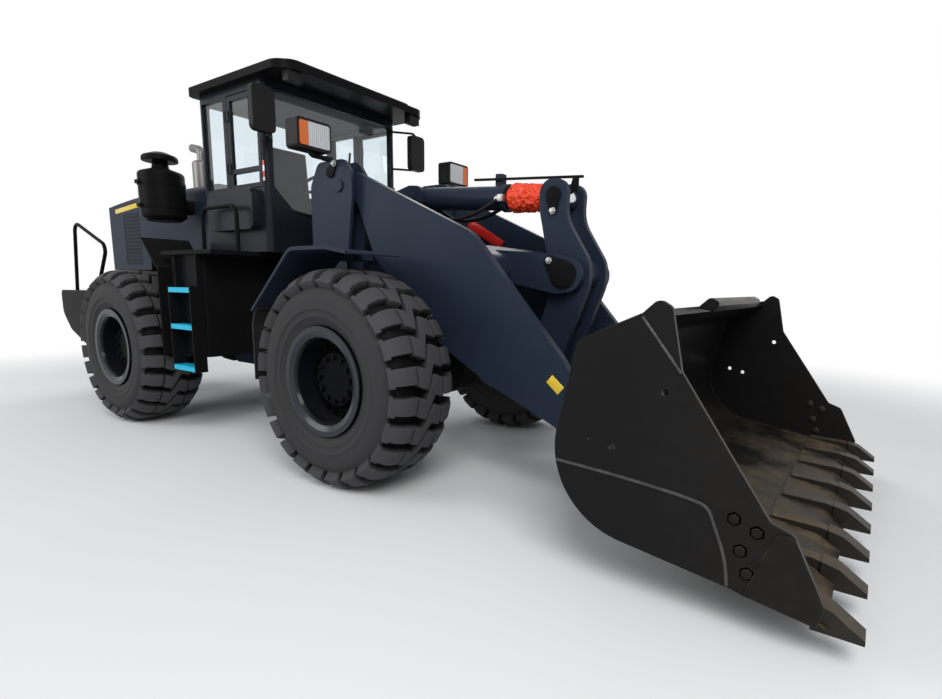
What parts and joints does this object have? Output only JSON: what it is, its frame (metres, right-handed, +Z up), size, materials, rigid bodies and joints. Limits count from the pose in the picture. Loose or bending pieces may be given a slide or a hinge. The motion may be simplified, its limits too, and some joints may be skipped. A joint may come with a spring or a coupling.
{
  "type": "wheel loader",
  "caption": "Articulated wheel loader with lift arms, Z-bar bucket linkage, toothed bucket, glazed cab, rear engine hood and lugged tyres.",
  "frame": {"origin": "centre of the bounding box at ground level", "axes": "+X forward towards the bucket, +Y to the left, +Z up"},
  "size_m": [8.6368, 3, 3.3],
  "materials": {
    "tyre": "dusty",
    "rim_paint": "gloss",
    "slate_paint": "gloss",
    "black_paint": "gloss",
    "rubber": "matte",
    "plastic": "matte",
    "cyan_film": "gloss",
    "glass": "clear",
    "steel": "worn",
    "chrome": "polished",
    "orange_wrap": "crumpled",
    "lens": "clear",
    "amber": "gloss",
    "red_lens": "gloss"
  },
  "bodies": {
    "rear_body": {"rear_frame": "black_paint", "counterweight": "black_paint", "rear_axle": "black_paint", "engine": "black_paint", "hood": "slate_paint", "radiator": "black_paint", "deck": "black_paint", "ladders_and_rails": "black_paint", "step_treads": "cyan_film", "rear_fenders": "slate_paint", "cab_shell": "slate_paint", "cab_roof": "black_paint", "cab_glass": "glass", "seat_and_wheel": "plastic", "air_cleaner": "black_paint", "exhaust": "steel", "mirrors": "plastic", "tail_lamps": "red_lens", "roof_lamps": "lens"},
    "front_body": {"front_frame": "slate_paint", "frame_pins": "steel", "front_axle": "black_paint", "front_fenders": "slate_paint", "mud_flaps": "rubber", "headlamps": "black_paint", "headlamp_lenses": "lens", "turn_lamps": "amber"},
    "boom": {"boom": "slate_paint"},
    "bucket_pins": {"bucket_pins": "steel"},
    "bucket": {"bucket": "black_paint", "bucket_teeth": "steel"},
    "crank_pin": {"crank_pin": "steel"},
    "bellcrank": {"bellcrank": "slate_paint"},
    "link_pin": {"link_pin": "steel"},
    "link": {"bucket_link": "black_paint"},
    "tilt_barrel": {"tilt_barrel": "slate_paint"},
    "tilt_rod": {"tilt_rod": "chrome", "rod_wrap": "orange_wrap", "level_bar": "black_paint"},
    "lift_barrel_left": {"lift_barrel_left": "black_paint"},
    "lift_rod_left": {"lift_rod_left": "chrome"},
    "steer_barrel_left": {"steer_barrel_left": "black_paint"},
    "steer_rod_left": {"steer_rod_left": "chrome"},
    "door_left": {"door_left": "slate_paint", "door_glass_left": "glass"},
    "wheel_front_left": {"tyre_front_left": "tyre", "rim_front_left": "rim_paint"},
    "wheel_rear_left": {"tyre_rear_left": "tyre", "rim_rear_left": "rim_paint"},
    "lift_barrel_right": {"lift_barrel_right": "black_paint"},
    "lift_rod_right": {"lift_rod_right": "chrome"},
    "steer_barrel_right": {"steer_barrel_right": "black_paint"},
    "steer_rod_right": {"steer_rod_right": "chrome"},
    "door_right": {"door_right": "slate_paint", "door_glass_right": "glass"},
    "wheel_front_right": {"tyre_front_right": "tyre", "rim_front_right": "rim_paint"},
    "wheel_rear_right": {"tyre_rear_right": "tyre", "rim_rear_right": "rim_paint"}
  },
  "joints": [
    {"name": "steering", "type": "hinge", "parent": "rear_body", "child": "front_body", "pos_m": [-0.5685, 0, 0.95], "axis": [0, 0, 1], "range_deg": [-35, 35]},
    {"name": "wheel_front_left_spin", "type": "hinge", "parent": "front_body", "child": "wheel_front_left", "pos_m": [1.0815, 1.125, 0.785], "axis": [0, 1, 0], "continuous": true},
    {"name": "wheel_front_right_spin", "type": "hinge", "parent": "front_body", "child": "wheel_front_right", "pos_m": [1.0815, -1.125, 0.785], "axis": [0, 1, 0], "continuous": true},
    {"name": "wheel_rear_left_spin", "type": "hinge", "parent": "rear_body", "child": "wheel_rear_left", "pos_m": [-2.2185, 1.125, 0.785], "axis": [0, 1, 0], "continuous": true},
    {"name": "wheel_rear_right_spin", "type": "hinge", "parent": "rear_body", "child": "wheel_rear_right", "pos_m": [-2.2185, -1.125, 0.785], "axis": [0, 1, 0], "continuous": true},
    {"name": "boom_lift", "type": "hinge", "parent": "front_body", "child": "boom", "pos_m": [0.5315, 0, 2.24], "axis": [0, -1, 0], "range_deg": [-2, 76]},
    {"name": "bucket_pins_turn", "type": "hinge", "parent": "boom", "child": "bucket_pins", "pos_m": [2.8615, 0, 0.5], "axis": [0, 1, 0], "range_deg": [-1.9, 64.8]},
    {"name": "bucket_tilt", "type": "hinge", "parent": "bucket_pins", "child": "bucket", "pos_m": [2.8615, 0, 0.5], "axis": [0, 1, 0], "range_deg": [-45, 45]},
    {"name": "crank_pin_turn", "type": "hinge", "parent": "boom", "child": "crank_pin", "pos_m": [2.3375, 0, 1.55], "axis": [0, -1, 0], "range_deg": [-0.68, 18.44]},
    {"name": "bellcrank_turn", "type": "hinge", "parent": "crank_pin", "child": "bellcrank", "pos_m": [2.3375, 0, 1.55], "axis": [0, -1, 0], "range_deg": [-13.7, 13.7]},
    {"name": "link_pin_turn", "type": "hinge", "parent": "bucket", "child": "link_pin", "pos_m": [2.8815, 0, 0.905], "axis": [0, -1, 0], "range_deg": [-1.12, 35.16]},
    {"name": "link_turn", "type": "hinge", "parent": "link_pin", "child": "link", "pos_m": [2.8815, 0, 0.905], "axis": [0, -1, 0], "range_deg": [-45.2, 45.2]},
    {"name": "tilt_barrel_turn", "type": "hinge", "parent": "front_body", "child": "tilt_barrel", "pos_m": [0.7815, 0, 2.21], "axis": [0, -1, 0], "range_deg": [-2.35, 82.05]},
    {"name": "tilt_rod_slide", "type": "slide", "parent": "tilt_barrel", "child": "tilt_rod", "axis": [0.998, 0, -0.0637], "range_m": [-0.1316, 0.1316]},
    {"name": "lift_barrel_left_turn", "type": "hinge", "parent": "front_body", "child": "lift_barrel_left", "pos_m": [0.0315, 0.45, 1], "axis": [0, -1, 0], "range_deg": [-1.14, 35.97]},
    {"name": "lift_rod_left_slide", "type": "slide", "parent": "lift_barrel_left", "child": "lift_rod_left", "axis": [0.973, 0, 0.2306], "range_m": [-0.0296, 1.0499]},
    {"name": "lift_barrel_right_turn", "type": "hinge", "parent": "front_body", "child": "lift_barrel_right", "pos_m": [0.0315, -0.45, 1], "axis": [0, -1, 0], "range_deg": [-1.14, 35.97]},
    {"name": "lift_rod_right_slide", "type": "slide", "parent": "lift_barrel_right", "child": "lift_rod_right", "axis": [0.973, 0, 0.2306], "range_m": [-0.0296, 1.0499]},
    {"name": "steer_barrel_left_turn", "type": "hinge", "parent": "rear_body", "child": "steer_barrel_left", "pos_m": [-1.4285, 0.29, 0.95], "axis": [0, 0, 1], "range_deg": [-6.15, 6.15]},
    {"name": "steer_rod_left_slide", "type": "slide", "parent": "steer_barrel_left", "child": "steer_rod_left", "axis": [0.9853, 0.1709, 0], "range_m": [-0.2573, 0.2573]},
    {"name": "steer_barrel_right_turn", "type": "hinge", "parent": "rear_body", "child": "steer_barrel_right", "pos_m": [-1.4285, -0.29, 0.95], "axis": [0, 0, 1], "range_deg": [-6.15, 6.15]},
    {"name": "steer_rod_right_slide", "type": "slide", "parent": "steer_barrel_right", "child": "steer_rod_right", "axis": [0.9853, -0.1709, 0], "range_m": [-0.2573, 0.2573]},
    {"name": "door_left_swing", "type": "hinge", "parent": "rear_body", "child": "door_left", "pos_m": [-0.8805, 0.814, 2.4], "axis": [0, 0, 1], "range_deg": [0, 80]},
    {"name": "door_right_swing", "type": "hinge", "parent": "rear_body", "child": "door_right", "pos_m": [-0.8805, -0.814, 2.4], "axis": [0, 0, -1], "range_deg": [0, 80]}
  ],
  "couplings": [
    {"joint": "bucket_pins_turn", "follows": "boom_lift", "ratio": 0.85},
    {"joint": "crank_pin_turn", "follows": "boom_lift", "ratio": 0.24},
    {"joint": "bellcrank_turn", "follows": "bucket_tilt", "ratio": 0.3},
    {"joint": "link_pin_turn", "follows": "boom_lift", "ratio": 0.46},
    {"joint": "link_turn", "follows": "bucket_tilt", "ratio": 1},
    {"joint": "tilt_barrel_turn", "follows": "boom_lift", "ratio": 1.077},
    {"joint": "tilt_rod_slide", "follows": "bucket_tilt", "m_per_rad": -0.165},
    {"joint": "lift_barrel_left_turn", "follows": "boom_lift", "ratio": 0.4706},
    {"joint": "lift_rod_left_slide", "follows": "boom_lift", "m_per_rad": 0.79},
    {"joint": "lift_barrel_right_turn", "follows": "boom_lift", "ratio": 0.4706},
    {"joint": "lift_rod_right_slide", "follows": "boom_lift", "m_per_rad": 0.79},
    {"joint": "steer_barrel_left_turn", "follows": "steering", "ratio": 0.17},
    {"joint": "steer_rod_left_slide", "follows": "steering", "m_per_rad": -0.418},
    {"joint": "steer_barrel_right_turn", "follows": "steering", "ratio": 0.17},
    {"joint": "steer_rod_right_slide", "follows": "steering", "m_per_rad": 0.418}
  ]
}
